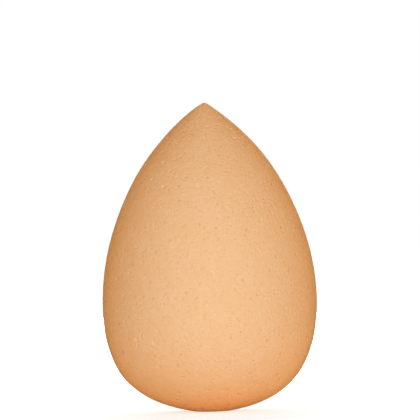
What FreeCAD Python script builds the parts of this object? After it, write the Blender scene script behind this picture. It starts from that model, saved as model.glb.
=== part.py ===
# Teardrop makeup sponge: one piece of fine-celled foam, ground to a pointed egg.
#
# The sponge is round about an upright axis and stands on its broad end. Its half
# outline is four arcs that run into each other without a corner. From the foot up
# they are the broad base, the tighter heel, one long flank past the widest girth,
# and the blunted tip. The foam's own weight presses the middle of the base flat,
# and the sponge stands on that small round foot.
#
# Millimetres, +Z up, origin at the middle of the foot.

import FreeCAD
import Part

import math
import os

# Driving sizes. Heights are taken from the foot.
overall_height = 60.0
belly_diameter = 41.4
belly_height = 21.2
base_radius = 27.5
tip_radius = 1.5
foot_press_depth = 0.5

# The heel bends this much tighter than the belly's own radius. With no difference
# the two would share a centre on the axis, and the heel would be a half ball.
heel_tightening = 3.7
heel_radius = belly_diameter / 2 - heel_tightening

axis_foot = FreeCAD.Vector(0, 0, 0)
axis_top = FreeCAD.Vector(0, 0, overall_height)
upward = FreeCAD.Vector(0, 0, 1)
full_turn = 360


def toward(start, end, distance):
    """The point that lies the given distance from start, on the way to end."""
    return start + (end - start).normalize() * distance


def arc(centre, radius, start, end):
    """The shorter arc about a centre, from one of its points to another."""
    middle = toward(centre, (start + end) / 2, radius)
    return Part.Arc(start, middle, end).toShape()


def tip_arc_centre():
    """The tip's arc is centred on the axis, so the point ends in a small dome."""
    return FreeCAD.Vector(0, 0, overall_height - tip_radius)


def flank_arc():
    """Centre and radius of the flank, which is upright at the belly and meets the tip's arc."""
    belly_radius = belly_diameter / 2
    rise = overall_height - tip_radius - belly_height
    radius = (rise ** 2 / (belly_radius - tip_radius) + belly_radius + tip_radius) / 2
    return FreeCAD.Vector(belly_radius - radius, 0, belly_height), radius


def base_arc_centre():
    """The base would dip below the foot by the depth that the foam is pressed."""
    return FreeCAD.Vector(0, 0, base_radius - foot_press_depth)


def heel_arc_centre(flank_centre, flank_radius, base_centre):
    """The heel's arc rolls inside the flank's and the base's, and touches both."""
    from_flank = flank_radius - heel_radius
    from_base = base_radius - heel_radius
    apart = (base_centre - flank_centre).Length
    along = (from_flank ** 2 - from_base ** 2 + apart ** 2) / (2 * apart)
    aside = math.sqrt(from_flank ** 2 - along ** 2)
    inward = (base_centre - flank_centre).normalize()
    outward = FreeCAD.Vector(inward.z, 0, -inward.x)
    return flank_centre + inward * along + outward * aside


def half_outline():
    """The closed half section, on the side where X is positive."""
    tip_centre = tip_arc_centre()
    flank_centre, flank_radius = flank_arc()
    base_centre = base_arc_centre()
    heel_centre = heel_arc_centre(flank_centre, flank_radius, base_centre)

    foot_radius = math.sqrt(base_radius ** 2 - base_centre.z ** 2)
    foot_edge = FreeCAD.Vector(foot_radius, 0, 0)
    base_to_heel = toward(base_centre, heel_centre, base_radius)
    heel_to_flank = toward(flank_centre, heel_centre, flank_radius)
    flank_to_tip = toward(flank_centre, tip_centre, flank_radius)

    return Part.Wire([
        Part.makeLine(axis_foot, foot_edge),
        arc(base_centre, base_radius, foot_edge, base_to_heel),
        arc(heel_centre, heel_radius, base_to_heel, heel_to_flank),
        arc(flank_centre, flank_radius, heel_to_flank, flank_to_tip),
        arc(tip_centre, tip_radius, flank_to_tip, axis_top),
        Part.makeLine(axis_top, axis_foot),
    ])


def foam_body():
    """The whole sponge, which is one solid with nothing inside it."""
    return Part.Face(half_outline()).revolve(axis_foot, upward, full_turn)


os.makedirs("parts", exist_ok=True)
foam_body().exportStep(os.path.join("parts", "foam_body.step"))
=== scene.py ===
"""Makeup sponge: one teardrop of fine-celled foam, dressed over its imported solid.

Lengths are in metres, angles in radians, +Z is up, and the origin is the middle of the foot.
"""

import logging
import math
from dataclasses import dataclass
from dataclasses import field
from enum import Enum

import bpy
import numpy as np
from mathutils import Matrix
from mathutils import Vector
from mathutils.geometry import delaunay_2d_cdt
from mathutils.kdtree import KDTree


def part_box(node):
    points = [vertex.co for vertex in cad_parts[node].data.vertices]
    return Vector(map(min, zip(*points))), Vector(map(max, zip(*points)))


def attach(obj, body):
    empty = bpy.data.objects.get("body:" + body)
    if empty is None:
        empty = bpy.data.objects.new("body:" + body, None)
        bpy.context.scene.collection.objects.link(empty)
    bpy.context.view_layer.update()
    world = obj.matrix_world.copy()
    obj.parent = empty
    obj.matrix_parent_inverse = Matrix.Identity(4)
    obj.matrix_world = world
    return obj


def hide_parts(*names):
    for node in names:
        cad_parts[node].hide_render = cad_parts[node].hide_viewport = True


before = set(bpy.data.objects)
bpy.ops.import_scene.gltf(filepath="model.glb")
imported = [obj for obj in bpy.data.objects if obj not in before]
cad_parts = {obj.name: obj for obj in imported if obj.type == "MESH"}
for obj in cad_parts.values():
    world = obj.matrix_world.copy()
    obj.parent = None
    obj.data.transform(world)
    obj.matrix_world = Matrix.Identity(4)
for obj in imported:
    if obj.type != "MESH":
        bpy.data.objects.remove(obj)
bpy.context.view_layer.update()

log = logging.getLogger("makeup_sponge")

HALF = 0.5
FULL_TURN = 2 * math.pi
QUARTER_TURN = math.pi / 2
GOLDEN_ANGLE = math.pi * (3 - math.sqrt(5))

# Two discs of this radius just fit beside each other on a unit square's diagonal.
MAP_DISC_RADIUS = 1 / (2 + math.sqrt(2))
MAP_NAME = "OFBake"

# Under this name the mesh keeps how deep each point lies in its pore, from 0 to 1.
PORE_DEPTH = "pore_depth"

# Blender's number for the kind of triangulation that fills the whole hull of its points.
FILL_HULL = 0

Socket = bpy.types.NodeSocket
Span = tuple[float, float]
Colour = tuple[float, float, float, float]
WHITE: Colour = (1.0, 1.0, 1.0, 1.0)


def across(bearing: np.ndarray) -> np.ndarray:
    """Unit steps level away from the axis, one row for each bearing."""
    return np.stack([np.cos(bearing), np.sin(bearing)], 1)


class Sheet:
    """A shader's node tree, with short calls that add nodes and join them."""

    def __init__(self, owner: bpy.types.Material | bpy.types.World) -> None:
        """Empties the owner's node tree.

        Args:
            owner: The material or world whose nodes are to be laid out.
        """
        owner.use_nodes = True
        self.tree = owner.node_tree
        self.tree.nodes.clear()

    def fill(self, socket: Socket, value: object) -> None:
        """Joins a socket to another node's output, or sets it.

        Args:
            socket: The socket.
            value: The output to join it to, or the plain value to set.
        """
        if isinstance(value, Socket):
            self.tree.links.new(value, socket)
        else:
            socket.default_value = value

    def add(self, kind: str, inputs: dict[str | int, object] | None = None,
            **settings: object) -> bpy.types.Node:
        """Adds one node.

        Args:
            kind: Blender's name for the node type.
            inputs: What each socket holds, by name or place: a value, or another node's output.
            settings: The node's own settings, by name.

        Returns:
            The new node.
        """
        node = self.tree.nodes.new(kind)
        for name, value in settings.items():
            setattr(node, name, value)
        for name, value in (inputs or {}).items():
            self.fill(node.inputs[name], value)
        return node

    def noise(self, place: Socket, size: float, detail: float) -> Socket:
        """Soft noise whose lumps are about as large as the size."""
        inputs = {"Vector": place, "Scale": 1 / size, "Detail": detail}
        return self.add("ShaderNodeTexNoise", inputs).outputs["Fac"]

    def packed_cells(self, place: Socket, size: float) -> bpy.types.Node:
        """A node that fills space with cells of about the given size."""
        return self.add("ShaderNodeTexVoronoi", {"Vector": place, "Scale": 1 / size})

    def reckoned(self, operation: str, first: Socket, second: Socket | float) -> Socket:
        """What the named operation makes of two numbers."""
        return self.add("ShaderNodeMath", {0: first, 1: second}, operation=operation).outputs["Value"]

    def eased(self, value: Socket, ends: Span, to: Span = (0.0, 1.0)) -> Socket:
        """Stretches one range of a number to another, smoothly and without passing its ends.

        Args:
            value: The number.
            ends: The old range: what becomes the new one's start, and what becomes its end.
            to: The new range, from start to end.

        Returns:
            The stretched number.
        """
        inputs = {"Value": value, "From Min": ends[0], "From Max": ends[1]}
        inputs |= {"To Min": to[0], "To Max": to[1]}
        return self.add("ShaderNodeMapRange", inputs, interpolation_type="SMOOTHSTEP").outputs["Result"]

    def tinted(self, share: Socket, first: Socket | Colour, second: Socket | Colour) -> Socket:
        """Goes from one colour to another.

        Args:
            share: How far to go, from 0 to 1.
            first: The colour at 0, or the output that gives it.
            second: The colour at 1, or the output that gives it.

        Returns:
            The colour between them.
        """
        node = self.add("ShaderNodeMix", data_type="RGBA")
        inputs = {socket.identifier: socket for socket in node.inputs}
        outputs = {socket.identifier: socket for socket in node.outputs}
        self.fill(inputs["Factor_Float"], share)
        self.fill(inputs["A_Color"], first)
        self.fill(inputs["B_Color"], second)
        return outputs["Result_Color"]

    def mixed(self, share: Socket, first: Socket, second: Socket) -> Socket:
        """Goes from one shader to another.

        Args:
            share: How far to go, from 0 to 1.
            first: The shader at 0.
            second: The shader at 1.

        Returns:
            The mixed shader.
        """
        return self.add("ShaderNodeMixShader", {0: share, 1: first, 2: second}).outputs["Shader"]

    def seen_directly(self) -> Socket:
        """Tells whether a ray comes from the camera, or from a mirror or a glass.

        Returns:
            1 if it does and 0 if not.
        """
        rays = self.add("ShaderNodeLightPath").outputs
        seen_or_mirrored = self.reckoned("MAXIMUM", rays["Is Camera Ray"], rays["Is Glossy Ray"])
        return self.reckoned("MAXIMUM", seen_or_mirrored, rays["Is Transmission Ray"])


@dataclass(frozen=True)
class FoamFinish:
    """Dry fine-celled foam, dyed tan through and through, with a ground skin.

    Each pair of ends says between which values of its texture a change runs.
    """

    skin_colour: Colour = (0.78, 0.511, 0.297, 1.0)
    warm_colour: Colour = (0.78, 0.493, 0.273, 1.0)
    # Painted shade: the colour of a cell's dented middle.
    cell_shade_colour: Colour = (0.735, 0.472, 0.265, 1.0)
    # Painted shade: the colour at the bottom of a pore.
    pore_shade_colour: Colour = (0.58, 0.385, 0.23, 1.0)
    # Painted glints: the colour of the pale flecks.
    glint_colour: Colour = (0.82, 0.56, 0.34, 1.0)
    mottle_size: float = 0.004
    mottle_detail: float = 4.0
    mottle_ends: Span = (0.35, 0.65)
    grain_size: float = 0.0005
    grain_detail: float = 2.0
    grain_ends: Span = (0.3, 0.7)
    grain_depth: float = 0.000025
    cell_size: float = 0.0003
    cell_ends: Span = (0.55, 0.15)
    cell_depth: float = 0.00005
    fleck_size: float = 0.00045
    fleck_share: float = 0.1
    fleck_ends: Span = (0.5, 0.2)
    roughness_range: Span = (0.7, 0.9)
    shine: float = 0.22
    fuzz: float = 1.0
    fuzz_roughness: float = 0.8
    fuzz_colour: Colour = (1.0, 0.37, 0.05, 1.0)

    def material(self) -> bpy.types.Material:
        """Lays out the foam's nodes.

        Returns:
            The finished material.
        """
        made = bpy.data.materials.new("tan_foam")
        sheet = Sheet(made)
        place = sheet.add("ShaderNodeTexCoord").outputs["Object"]
        grain = sheet.noise(place, self.grain_size, self.grain_detail)
        cells = sheet.packed_cells(place, self.cell_size).outputs["Distance"]
        foam = sheet.add("ShaderNodeBsdfPrincipled", {
            "Base Color": self.colour(sheet, place, cells),
            "Roughness": sheet.eased(grain, self.grain_ends, self.roughness_range),
            "Normal": self.relief(sheet, cells, grain),
            "Specular IOR Level": self.shine,
            "Sheen Weight": self.fuzz,
            "Sheen Roughness": self.fuzz_roughness,
            "Sheen Tint": self.fuzz_colour,
        })
        sheet.add("ShaderNodeOutputMaterial", {"Surface": foam.outputs["BSDF"]})
        return made

    def colour(self, sheet: Sheet, place: Socket, cells: Socket) -> Socket:
        """Lays a slow mottle, painted shade in the cells and the pores, and painted glints over each other.

        Args:
            sheet: The node tree.
            place: Where on the sponge a point lies.
            cells: How far a point lies from the middle of its cell.

        Returns:
            The foam's colour.
        """
        mottle = sheet.eased(sheet.noise(place, self.mottle_size, self.mottle_detail), self.mottle_ends)
        pore = sheet.add("ShaderNodeAttribute", attribute_name=PORE_DEPTH).outputs["Fac"]
        colour = sheet.tinted(mottle, self.skin_colour, self.warm_colour)
        # Painted shade: the dented middle of each cell is darker.
        colour = sheet.tinted(sheet.eased(cells, self.cell_ends), colour, self.cell_shade_colour)
        # Painted glints: pale flecks in a few cells stand in for highlights on the cell walls.
        colour = sheet.tinted(self.painted_glints(sheet, place), colour, self.glint_colour)
        # Painted shade: the deeper a point lies in its pore, the darker its colour.
        return sheet.tinted(pore, colour, self.pore_shade_colour)

    def painted_glints(self, sheet: Sheet, place: Socket) -> Socket:
        """Puts a round painted glint, a pale fleck, in a few cells that are drawn by lot.

        Args:
            sheet: The node tree.
            place: Where on the sponge a point lies.

        Returns:
            1 in a glint's middle and 0 outside the glints.
        """
        spots = sheet.packed_cells(place, self.fleck_size).outputs
        lot = sheet.add("ShaderNodeSeparateColor", {"Color": spots["Color"]}).outputs["Red"]
        drawn = sheet.reckoned("LESS_THAN", lot, self.fleck_share)
        return sheet.reckoned("MULTIPLY", drawn, sheet.eased(spots["Distance"], self.fleck_ends))

    def relief(self, sheet: Sheet, cells: Socket, grain: Socket) -> Socket:
        """Dents the cells and roughens the grain, both too fine for the mesh.

        Args:
            sheet: The node tree.
            cells: How far a point lies from the middle of its cell.
            grain: The grain's noise.

        Returns:
            The way that the foam faces.
        """
        dented = sheet.add("ShaderNodeBump", {"Height": cells, "Distance": self.cell_depth})
        rubbed = sheet.add("ShaderNodeBump", {
            "Height": grain,
            "Distance": self.grain_depth,
            "Normal": dented.outputs["Normal"],
        })
        return rubbed.outputs["Normal"]


@dataclass(frozen=True)
class Arc:
    """One round stretch of the half outline, in the plane of distance from the axis and height.

    The angles are those of its first and last point, seen from its centre.
    """

    centre: complex
    radius: float
    start: float
    end: float

    def points(self, count: int) -> tuple[np.ndarray, np.ndarray]:
        """Walks the arc.

        Args:
            count: How many points to take, with both ends.

        Returns:
            The points, and the way that the skin faces at each.
        """
        facing = np.exp(1j * np.linspace(self.start, self.end, count))
        return self.centre + self.radius * facing, facing


@dataclass(frozen=True)
class Outline:
    """The half outline: base, heel, flank and tip, which meet without a corner.

    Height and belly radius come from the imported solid. The dressed foam is a touch plumper,
    its tip a little sharper, and its foot pressed less flat.
    """

    height: float
    solid_radius: float
    plumpness: float = 0.00015
    belly_height: float = 0.0208
    base_radius: float = 0.0268
    heel_tightening: float = 0.0037
    tip_radius: float = 0.0009
    foot_press: float = 0.00015
    points_per_arc: int = 3000

    def arcs(self) -> list[Arc]:
        """Works out the four arcs, from the foot's edge to the top.

        Returns:
            The arcs of base, heel, flank and tip, in that order.
        """
        belly_radius = self.solid_radius + self.plumpness
        heel_radius = belly_radius - self.heel_tightening
        rise = self.height - self.tip_radius - self.belly_height
        run = belly_radius - self.tip_radius
        flank_radius = (rise**2 / run + belly_radius + self.tip_radius) / 2

        base = complex(0, self.base_radius - self.foot_press)
        flank = complex(belly_radius - flank_radius, self.belly_height)
        tip = complex(0, self.height - self.tip_radius)
        heel = self.rolled_centre(flank, flank_radius - heel_radius, base, self.base_radius - heel_radius)
        foot_edge = complex(math.sqrt(self.base_radius**2 - base.imag**2), 0)

        turns = [float(np.angle(way)) for way in (foot_edge - base, heel - base, heel - flank, tip - flank)]
        turns.append(QUARTER_TURN)
        centres = (base, heel, flank, tip)
        radii = (self.base_radius, heel_radius, flank_radius, self.tip_radius)
        return [Arc(*arc) for arc in zip(centres, radii, turns, turns[1:])]

    @staticmethod
    def rolled_centre(first: complex, from_first: float, second: complex, from_second: float) -> complex:
        """Finds the centre of an arc that rolls inside two others and touches both.

        Args:
            first: Centre of the first arc.
            from_first: Distance of the wanted centre from it.
            second: Centre of the second arc.
            from_second: Distance of the wanted centre from that one.

        Returns:
            The wanted centre, on the side that is farther from the axis.
        """
        apart = abs(second - first)
        along = (from_first**2 - from_second**2 + apart**2) / (2 * apart)
        aside = math.sqrt(from_first**2 - along**2)
        return first + (second - first) / apart * complex(along, -aside)

    def trace(self) -> tuple[np.ndarray, np.ndarray]:
        """Walks the half outline, from the middle of the foot to a hair short of the top.

        Returns:
            The points, and the way that the skin faces at each.
        """
        stretches = [arc.points(self.points_per_arc) for arc in self.arcs()]
        base_points, _ = stretches[0]
        foot = np.linspace(0, base_points[0], self.points_per_arc)
        straight_down = np.full(foot.shape, -1j)
        stretches.insert(0, (foot, straight_down))
        points, facing = (np.concatenate([part[:-1] for part in parts]) for parts in zip(*stretches))
        return points, facing


class Skin:
    """Turns a place on the sponge, told by way up the outline and bearing, into a point.

    The way is measured along the outline from the middle of the foot, and the bearing
    is the angle about the axis, from +X.
    """

    def __init__(self, outline: Outline) -> None:
        """Measures the outline once.

        Args:
            outline: The half outline that the skin turns about the axis.
        """
        points, facing = outline.trace()
        step = np.abs(np.diff(points))
        middle_radius = (points.real[1:] + points.real[:-1]) / 2
        self.way = np.concatenate([[0], np.cumsum(step)])
        self.radius = points.real
        self.height = points.imag
        self.facing = facing
        self.area = np.concatenate([[0], np.cumsum(FULL_TURN * middle_radius * step)])
        # A flat map that keeps every angle has shrunk, on the way up, by this power of e.
        self.narrowing = np.concatenate([[0], np.cumsum(step / middle_radius)])

    def radius_at(self, way: np.ndarray | float) -> np.ndarray | float:
        """Distance from the axis."""
        return np.interp(way, self.way, self.radius)

    def way_at_area(self, share: np.ndarray) -> np.ndarray:
        """The way up at which that share of the skin's area lies below."""
        return np.interp(share * self.area[-1], self.area, self.way)

    def area_share(self, way: np.ndarray) -> np.ndarray:
        """Share of the skin's area that lies below."""
        return np.interp(way, self.way, self.area) / self.area[-1]

    def place(self, way: np.ndarray, bearing: np.ndarray) -> tuple[np.ndarray, np.ndarray]:
        """Finds points on the smooth skin.

        Args:
            way: How far up the outline each point lies.
            bearing: The angle about the axis of each.

        Returns:
            The points, and the outward normals there, one row each.
        """
        height = np.interp(way, self.way, self.height)
        out = np.interp(way, self.way, self.facing.real)
        up = np.interp(way, self.way, self.facing.imag)
        level = across(bearing)
        points = np.column_stack([level * self.radius_at(way)[:, None], height])
        normals = np.column_stack([level * out[:, None], up])
        return points, normals

    def spot(self, way: float, bearing: float) -> np.ndarray:
        """One point on the smooth skin."""
        points, _ = self.place(np.array([way]), np.array([bearing]))
        return points[0]

    def flatten(self, way: np.ndarray, bearing: np.ndarray, rim: float) -> np.ndarray:
        """Lays the skin flat without changing an angle, the tip in the middle of the disc.

        Args:
            way: How far up the outline each point lies.
            bearing: The angle about the axis of each.
            rim: The way at which the disc has its rim, beside the middle of the foot.

        Returns:
            The flat points, one row each, in a disc of radius 1.
        """
        drop = np.interp(way, self.way, self.narrowing) - np.interp(rim, self.way, self.narrowing)
        return across(bearing) * np.exp(-drop)[:, None]


@dataclass(frozen=True)
class Ring:
    """One ring of points in a pore, as shares of the pore's radius and depth."""

    radius_share: float
    depth_share: float
    points: int


@dataclass(frozen=True)
class PoreShape:
    """How many pores of a kind there are, how large they grow, and the rings that shape them.

    The depth is given as a share of the pore's radius.
    """

    count: int
    smallest_radius: float
    largest_radius: float
    depth_share: float
    rings: tuple[Ring, ...]


class PoreKind(Enum):
    """The two kinds of pore in ground foam."""

    BLOWN = PoreShape(
        count=700,
        smallest_radius=0.00016,
        largest_radius=0.00027,
        depth_share=0.6,
        rings=(Ring(1.0, 0.0, 9), Ring(0.7, 0.55, 7), Ring(0.35, 0.9, 4), Ring(0.0, 1.0, 1)),
    )
    CELL = PoreShape(
        count=4600,
        smallest_radius=0.00009,
        largest_radius=0.00016,
        depth_share=0.55,
        rings=(Ring(1.0, 0.0, 6), Ring(0.5, 0.75, 4), Ring(0.0, 1.0, 1)),
    )


@dataclass(frozen=True)
class Pore:
    """One pore, with the place of its middle on the skin."""

    shape: PoreShape
    radius: float
    way: float
    bearing: float


@dataclass(frozen=True)
class Swell:
    """A low swell that grinding left in the skin, or a hollow, where the push is negative.

    The spread is the distance at which it has sunk to about a third.
    """

    height: float
    bearing: float
    push: float
    spread: float


@dataclass
class FoamTeardrop:
    """The sponge itself: a closed skin of foam with its pores sunk into it.

    Points that are still to be placed are kept as rows: the way up the outline, the bearing,
    the depth below the skin, and that depth as a share of the pore's own.
    """

    outline: Outline
    finish: FoamFinish = FoamFinish()
    skin_points: int = 30000
    jitter_share: float = 0.24
    grain_height: float = 0.00001
    pore_gap: float = 0.00009
    pore_size_skew: int = 2
    tries_per_pore: int = 3
    pore_squeeze_share: float = 0.3
    rim_wobble_share: float = 0.1
    shallowest_pore_share: float = 0.7
    deepest_pore_share: float = 1.15
    poreless_axis_radius: float = 0.0024
    foot_rim_way: float = 0.0003
    foot_rim_points: int = 9
    open_skin_way: float = 0.0006
    tip_rings: int = 9
    tip_ring_gap: float = 0.00024
    tip_ring_growth: int = 6
    flat_tolerance: float = 1e-9
    map_fill_share: float = 0.97
    seed: int = 20
    swells: tuple[Swell, ...] = (
        Swell(height=0.0012, bearing=math.radians(180), push=-0.00006, spread=0.004),
        Swell(height=0.007, bearing=math.radians(180), push=0.00015, spread=0.004),
        Swell(height=0.0125, bearing=math.radians(180), push=-0.00012, spread=0.0035),
        Swell(height=0.0125, bearing=math.radians(0), push=-0.00025, spread=0.005),
        Swell(height=0.027, bearing=math.radians(0), push=0.00008, spread=0.007),
        Swell(height=0.037, bearing=math.radians(180), push=-0.00008, spread=0.008),
        Swell(height=0.05, bearing=math.radians(180), push=0.00013, spread=0.007),
        Swell(height=0.056, bearing=math.radians(180), push=0.00016, spread=0.004),
        Swell(height=0.0585, bearing=math.radians(180), push=0.0001, spread=0.0025),
        Swell(height=0.0505, bearing=math.radians(0), push=0.00019, spread=0.009),
        Swell(height=0.022, bearing=math.radians(75), push=0.00015, spread=0.009),
        Swell(height=0.034, bearing=math.radians(120), push=-0.00012, spread=0.008),
        Swell(height=0.012, bearing=math.radians(250), push=-0.00008, spread=0.007),
    )
    skin: Skin = field(init=False)
    random: np.random.Generator = field(init=False)

    def __post_init__(self) -> None:
        """Measures the outline and seeds the draws."""
        self.skin = Skin(self.outline)
        self.random = np.random.default_rng(self.seed)

    def choose_pores(self) -> list[Pore]:
        """Chooses the pores, the widest of each kind first, so that none runs into another.

        Returns:
            The pores that found room.
        """
        # A row for each pore: its middle and its radius.
        taken = np.empty((0, 4))
        chosen = []
        for kind in PoreKind:
            shape = kind.value
            # The skew makes small pores common and large ones rare.
            radii = np.sort(self.random.uniform(0, 1, shape.count) ** self.pore_size_skew)[::-1]
            radii = shape.smallest_radius + radii * (shape.largest_radius - shape.smallest_radius)
            tries = shape.count * self.tries_per_pore
            way = self.skin.way_at_area(self.random.uniform(0, 1, tries))
            bearing = self.random.uniform(0, FULL_TURN, tries)
            points, _ = self.skin.place(way, bearing)
            clear_of_axis = self.skin.radius_at(way) > self.poreless_axis_radius
            placed = 0
            for spot in np.flatnonzero(clear_of_axis):
                if placed == shape.count:
                    break
                radius = radii[placed]
                apart = np.linalg.norm(taken[:, :-1] - points[spot], axis=1) - taken[:, -1]
                if apart.size and apart.min() < radius + self.pore_gap:
                    continue
                taken = np.vstack([taken, [*points[spot], radius]])
                chosen.append(Pore(shape, radius, way[spot], bearing[spot]))
                placed += 1
        return chosen

    def pore_points(self, pores: list[Pore]) -> np.ndarray:
        """Lays the rings of every pore, each pore a little squeezed and lumpy.

        Args:
            pores: The chosen pores.

        Returns:
            One row per point.
        """
        rows = []
        for pore in pores:
            girth = self.skin.radius_at(pore.way)
            turn = self.random.uniform(0, FULL_TURN)
            squeeze = 1 - self.random.uniform(0, self.pore_squeeze_share)
            deepness = self.random.uniform(self.shallowest_pore_share, self.deepest_pore_share)
            depth = pore.shape.depth_share * pore.radius * deepness
            for ring in pore.shape.rings:
                angle = np.arange(ring.points) / ring.points * FULL_TURN + self.random.uniform(0, FULL_TURN)
                wobble = 1 + self.random.normal(0, self.rim_wobble_share, ring.points)
                reach = ring.radius_share * pore.radius * wobble * np.exp(1j * angle)
                reach = (reach.real + 1j * reach.imag * squeeze) * np.exp(1j * turn)
                way = pore.way + reach.real
                bearing = pore.bearing + reach.imag / girth
                share = np.full(ring.points, ring.depth_share)
                rows.append(np.stack([way, bearing, share * depth, share], 1))
        return np.concatenate(rows)

    def scattered(self) -> tuple[np.ndarray, np.ndarray]:
        """Spreads the skin's own points evenly, each a little off its mark.

        Returns:
            The way up and the bearing of each point.
        """
        order = np.arange(self.skin_points) + HALF
        way = self.skin.way_at_area(order / self.skin_points)
        spacing = math.sqrt(self.skin.area[-1] / self.skin_points)
        off = self.random.normal(0, self.jitter_share * spacing, (2, self.skin_points))
        way = np.clip(way + off[0], self.foot_rim_way, self.skin.way[-1])
        bearing = order * GOLDEN_ANGLE + off[1] / np.maximum(self.skin.radius_at(way), spacing)
        return way, bearing

    def open_skin(self, pores: list[Pore]) -> np.ndarray:
        """Lays the skin's own points, wherever no pore, foot rim or tip cap is.

        Args:
            pores: The chosen pores.

        Returns:
            One row per point.
        """
        way, bearing = self.scattered()
        points, _ = self.skin.place(way, bearing)
        tree = KDTree(len(points))
        for index, point in enumerate(points):
            tree.insert(point, index)
        tree.balance()
        tip_cap_foot = self.skin.way[-1] - (self.tip_rings + 1) * self.tip_ring_gap
        keep = (way > self.open_skin_way) & (way < tip_cap_foot)
        for pore in pores:
            middle = self.skin.spot(pore.way, pore.bearing)
            for _, index, _ in tree.find_range(middle, pore.radius + self.pore_gap):
                keep[index] = False
        kept = np.stack([way[keep], bearing[keep]], 1)
        return np.column_stack([kept, np.zeros(kept.shape)])

    def foot_rim(self) -> np.ndarray:
        """Lays the small ring round the middle of the foot, where the flattened skin ends.

        Returns:
            One row per point.
        """
        bearing = np.arange(self.foot_rim_points) / self.foot_rim_points * FULL_TURN
        way = np.full(bearing.shape, self.foot_rim_way)
        return np.column_stack([way, bearing, np.zeros((self.foot_rim_points, 2))])

    def tip_cap(self) -> np.ndarray:
        """Lays the close rings of points that round the tip.

        Returns:
            One row per point, the top first.
        """
        top = self.skin.way[-1]
        rows = [[top, 0]]
        for ring in range(1, self.tip_rings + 1):
            way = top - ring * self.tip_ring_gap
            count = ring * self.tip_ring_growth
            first = ring * GOLDEN_ANGLE
            rows += [[way, first + step / count * FULL_TURN] for step in range(count)]
        return np.column_stack([rows, np.zeros((len(rows), 2))])

    def unevenness(self, points: np.ndarray) -> np.ndarray:
        """Adds up the swells and hollows.

        Args:
            points: Points on the smooth skin, one row each.

        Returns:
            How far each point is pushed out.
        """
        push = np.zeros(len(points))
        for swell in self.swells:
            way = np.interp(swell.height, self.skin.height, self.skin.way)
            apart = np.linalg.norm(points - self.skin.spot(way, swell.bearing), axis=1)
            push += swell.push * np.exp(-(apart / swell.spread) ** 2)
        return push

    def unfold(self, mesh: bpy.types.Mesh, way: np.ndarray, bearing: np.ndarray) -> None:
        """Gives the mesh a texture map: two discs, one for each half of the skin's area.

        Args:
            mesh: The foam's mesh.
            way: How far up the outline each of its points lies.
            bearing: The angle about the axis of each.
        """
        corners = np.empty(len(mesh.loops), dtype=np.int32)
        mesh.loops.foreach_get("vertex_index", corners)
        sides = np.empty(len(mesh.polygons), dtype=np.int32)
        mesh.polygons.foreach_get("loop_total", sides)
        face = np.repeat(np.arange(len(sides)), sides)

        share = self.skin.area_share(way)[corners]
        upper = (np.bincount(face, share) / sides > HALF)[face]
        from_middle = np.where(upper, 1 - share, share)
        reach = self.map_fill_share * MAP_DISC_RADIUS * np.sqrt(from_middle / HALF)
        middle = np.where(upper, 1 - MAP_DISC_RADIUS, MAP_DISC_RADIUS)
        flat = middle[:, None] + reach[:, None] * across(bearing[corners])
        mesh.uv_layers.new(name=MAP_NAME).data.foreach_set("uv", flat.astype(np.float32).ravel())

    def dress(self, mesh: bpy.types.Mesh, pore_depth: np.ndarray) -> None:
        """Gives the mesh its finish, and the pore depths that the finish reads.

        Args:
            mesh: The foam's mesh.
            pore_depth: The share of its pore's depth at which each point lies.
        """
        depth = mesh.attributes.new(PORE_DEPTH, "FLOAT", "POINT")
        depth.data.foreach_set("value", pore_depth.astype(np.float32))
        mesh.materials.append(self.finish.material())
        mesh.shade_smooth()

    def build(self) -> bpy.types.Object:
        """Makes the foam and dresses it.

        Returns:
            The new object.
        """
        pores = self.choose_pores()
        parts = [self.foot_rim(), self.tip_cap(), self.open_skin(pores), self.pore_points(pores)]
        way, bearing, sunk, share = np.concatenate(parts).T
        flat = [Vector(point) for point in self.skin.flatten(way, bearing, self.foot_rim_way)]
        _, _, faces, _, _, _ = delaunay_2d_cdt(flat, [], [], FILL_HULL, self.flat_tolerance)

        points, normals = self.skin.place(way, bearing)
        grain = self.random.normal(0, self.grain_height, len(points)) * (share == 0)
        raised = self.unevenness(points) - sunk + grain
        points = points + normals * raised[:, None]
        # Nothing sinks below the surface that the sponge stands on.
        points[:, -1] = np.maximum(points[:, -1], 0)

        mesh = bpy.data.meshes.new("foam_teardrop")
        foot_middle = list(reversed(range(self.foot_rim_points)))
        mesh.from_pydata(points.tolist(), [], [*map(list, faces), foot_middle])
        mesh.update()
        self.unfold(mesh, way, bearing)
        self.dress(mesh, share)
        foam = bpy.data.objects.new("foam_teardrop", mesh)
        bpy.context.scene.collection.objects.link(foam)
        return foam


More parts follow.
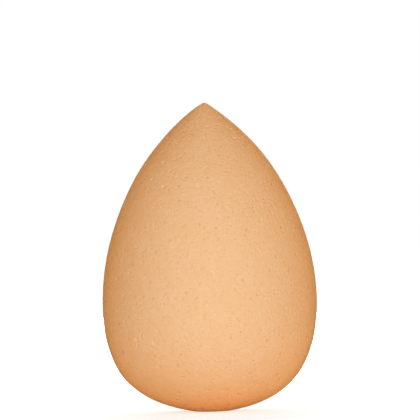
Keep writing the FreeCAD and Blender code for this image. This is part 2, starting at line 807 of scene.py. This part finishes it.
@dataclass(frozen=True)
class PaleFloor:
    """The plain pale floor that the sponge stands on, which keeps its shadow.

    The camera sees a glow on top of the lit paint, so that the floor is white but for the
    shadow. The glow grows with the distance from the origin.
    """

    side: float = 6.0
    colour: Colour = (0.9, 0.9, 0.9, 1.0)
    near_distance: float = 0.02
    far_distance: float = 0.12
    near_glow: float = 0.64
    far_glow: float = 1.0

    def build(self) -> bpy.types.Object:
        """Makes the floor.

        Returns:
            The new object.
        """
        half = self.side / 2
        corners = [(-half, -half, 0), (half, -half, 0), (half, half, 0), (-half, half, 0)]
        mesh = bpy.data.meshes.new("pale_floor")
        mesh.from_pydata(corners, [], [range(len(corners))])
        mesh.materials.append(self.material())
        floor = bpy.data.objects.new("pale_floor", mesh)
        bpy.context.scene.collection.objects.link(floor)
        return floor

    def material(self) -> bpy.types.Material:
        """Lays out the floor's nodes.

        Returns:
            The finished material.
        """
        made = bpy.data.materials.new("pale_paint")
        sheet = Sheet(made)
        paint = sheet.add("ShaderNodeBsdfDiffuse", {"Color": self.colour}).outputs["BSDF"]
        place = sheet.add("ShaderNodeTexCoord").outputs["Object"]
        apart = sheet.add("ShaderNodeVectorMath", {0: place}, operation="LENGTH").outputs["Value"]
        distances = (self.near_distance, self.far_distance)
        strength = sheet.eased(apart, distances, (self.near_glow, self.far_glow))
        glow = sheet.add("ShaderNodeEmission", {"Strength": strength}).outputs["Emission"]
        glowing_paint = sheet.add("ShaderNodeAddShader", {0: paint, 1: glow}).outputs["Shader"]
        surface = sheet.mixed(sheet.seen_directly(), paint, glowing_paint)
        sheet.add("ShaderNodeOutputMaterial", {"Surface": surface})
        return made


@dataclass(frozen=True)
class StudioLamp:
    """One square studio lamp that looks at the sponge.

    Its bearing is 0 on the camera's side and grows towards the camera's right.
    """

    name: str
    bearing: float
    elevation: float
    power: float
    side: float
    distance: float = 0.8

    def build(self, aim: Vector) -> bpy.types.Object:
        """Hangs the lamp.

        Args:
            aim: The point that it looks at.

        Returns:
            The new lamp.
        """
        lamp = bpy.data.lights.new(self.name, "AREA")
        lamp.shape = "SQUARE"
        lamp.size = self.side
        lamp.energy = self.power
        hung = bpy.data.objects.new(self.name, lamp)
        level = math.cos(self.elevation)
        aside = math.sin(self.bearing) * level
        ahead = math.cos(self.bearing) * level
        back = Vector((aside, -ahead, math.sin(self.elevation)))
        hung.location = aim + back * self.distance
        hung.rotation_euler = (-back).to_track_quat("-Z", "Y").to_euler()
        bpy.context.scene.collection.objects.link(hung)
        return hung


@dataclass(frozen=True)
class Studio:
    """Plain white light from all round, and a white ground beyond the floor."""

    around_strength: float = 0.13
    ground_strength: float = 1.0
    lamps: tuple[StudioLamp, ...] = (
        StudioLamp("front_lamp", bearing=0.0, elevation=0.0, power=5.15, side=0.06),
        StudioLamp("right_lamp", bearing=math.radians(35), elevation=math.radians(8), power=0.75, side=0.2),
        StudioLamp("back_lamp", bearing=math.radians(180), elevation=math.radians(12), power=6.6, side=0.6),
        StudioLamp("top_lamp", bearing=0.0, elevation=math.radians(90), power=0.4, side=0.3),
    )

    def build(self, aim: Vector) -> list[bpy.types.Object]:
        """Lights the sponge.

        Args:
            aim: The point that the lamps look at.

        Returns:
            The lamps.
        """
        bpy.context.scene.world = self.room()
        return [lamp.build(aim) for lamp in self.lamps]

    def room(self) -> bpy.types.World:
        """Lays out the light from all round, and the ground that the camera sees in its place.

        Returns:
            The finished world.
        """
        made = bpy.data.worlds.new("white_room")
        sheet = Sheet(made)
        around, ground = (
            sheet.add("ShaderNodeBackground", {"Color": WHITE, "Strength": strength}).outputs["Background"]
            for strength in (self.around_strength, self.ground_strength)
        )
        sheet.add("ShaderNodeOutputWorld", {"Surface": sheet.mixed(sheet.seen_directly(), around, ground)})
        return made


@dataclass(frozen=True)
class ViewPoint:
    """The photograph's viewpoint: level, from the front, with the camera a little rolled.

    At the sponge the square picture is as wide as frame_side, round the point named middle.
    """

    frame_side: float = 0.08179
    distance: float = 0.9
    middle: tuple[float, float, float] = (0.00055, 0.0, 0.03915)
    roll: float = math.radians(1.55)
    sensor: float = 36.0

    def build(self) -> bpy.types.Object:
        """Sets the camera up.

        Returns:
            The camera, which is now the scene's.
        """
        lens = bpy.data.cameras.new("front_camera")
        lens.sensor_width = self.sensor
        lens.lens = self.sensor * self.distance / self.frame_side
        camera = bpy.data.objects.new("front_camera", lens)
        camera.location = Vector(self.middle) - Vector((0, self.distance, 0))
        upright = Matrix.Rotation(QUARTER_TURN, 4, "X")
        camera.rotation_euler = (Matrix.Rotation(self.roll, 4, "Y") @ upright).to_euler()
        bpy.context.scene.collection.objects.link(camera)
        bpy.context.scene.camera = camera
        return camera


def main() -> None:
    """Builds the sponge and its studio, piece by piece."""
    logging.basicConfig(level=logging.INFO, format="%(name)s: %(message)s")
    low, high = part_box("foam_body")
    outline = Outline(height=high.z - low.z, solid_radius=(high.x - low.x) / 2)
    foam = FoamTeardrop(outline).build()
    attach(foam, "root")
    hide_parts("foam_body")
    log.info("%s: %d points, %d faces", foam.name, len(foam.data.vertices), len(foam.data.polygons))

    floor = PaleFloor().build()
    log.info("%s: stage", floor.name)
    for lamp in Studio().build(aim=(low + high) / 2):
        log.info("%s: %.2f W", lamp.name, lamp.data.energy)
    camera = ViewPoint().build()
    log.info("%s: %.0f mm lens", camera.name, camera.data.lens)
    bpy.context.scene.view_settings.view_transform = "Standard"


if __name__ == "__main__":
    main()
